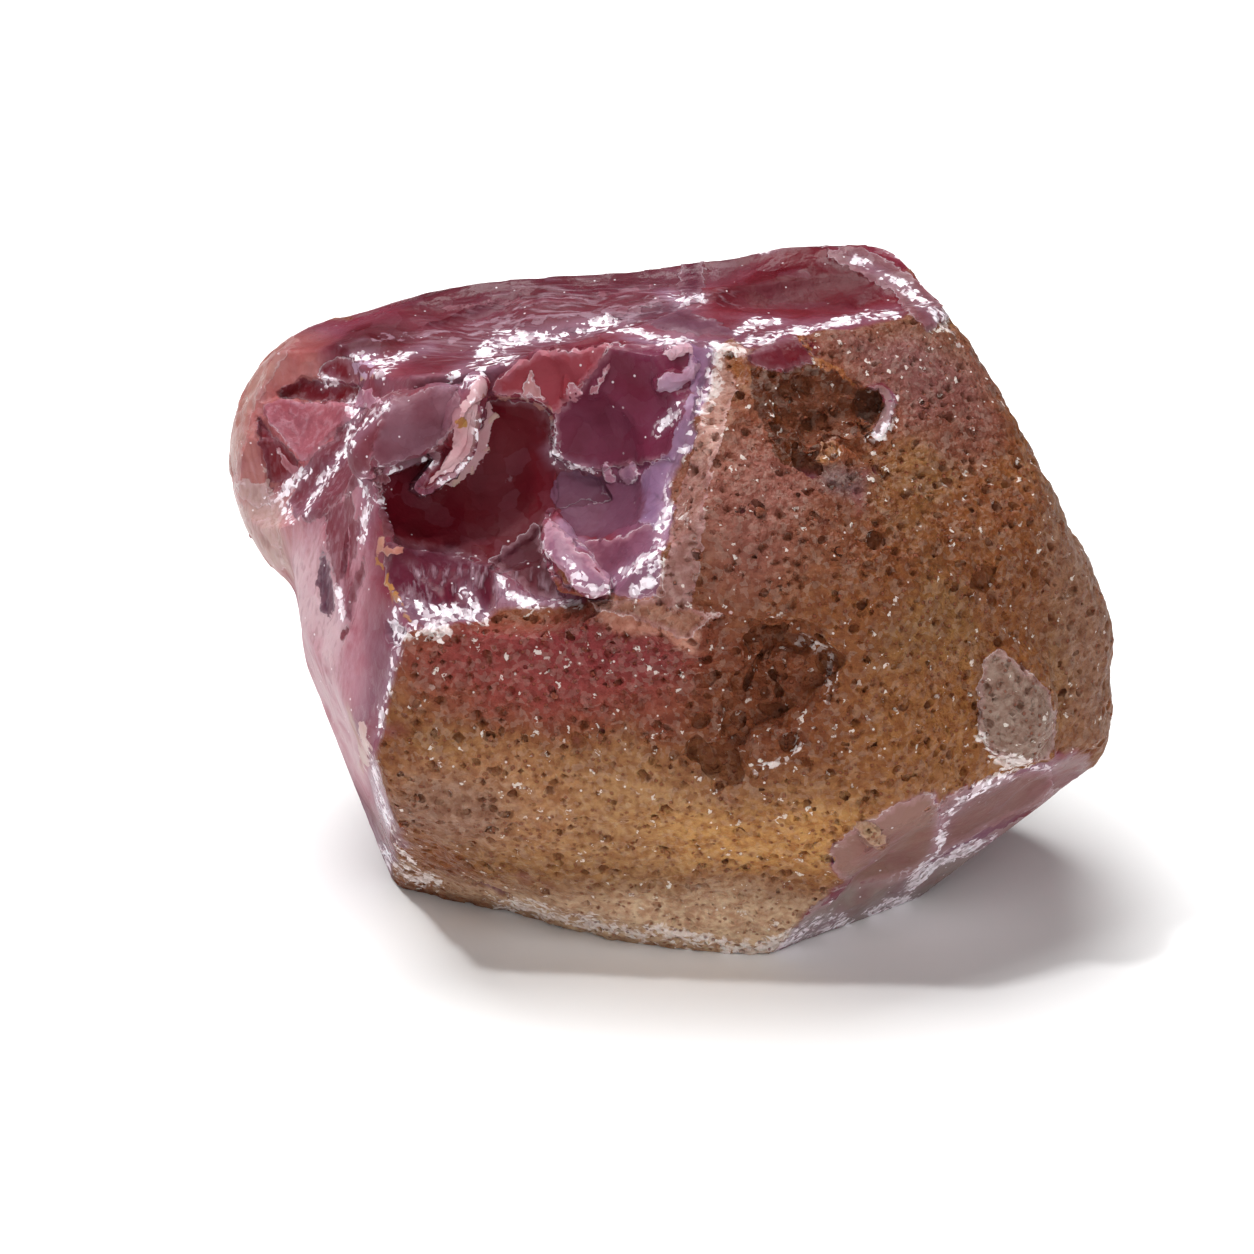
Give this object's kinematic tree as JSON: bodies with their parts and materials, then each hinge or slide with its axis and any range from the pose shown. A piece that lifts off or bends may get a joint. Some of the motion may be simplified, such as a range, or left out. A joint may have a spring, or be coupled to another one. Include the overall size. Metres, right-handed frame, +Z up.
{
  "type": "rough carnelian",
  "caption": "Lump of rough carnelian: a sandy, pitted worn rind broken open to glassy red and lilac chalcedony, resting on a flat broken face.",
  "frame": {"origin": "middle of the lump's bounding box, at the level of the flat face it rests on", "axes": "+Z up, +X along the lump's length to the right of its front, -Y towards its front, where the hollow and the pitted rind show"},
  "size_m": [0.0623, 0.043, 0.043],
  "materials": {
    "carnelian": "glassy on the broken faces, matt and sandy on the worn rind"
  },
  "bodies": {
    "root": {"rough_carnelian": "carnelian"}
  },
  "joints": []
}
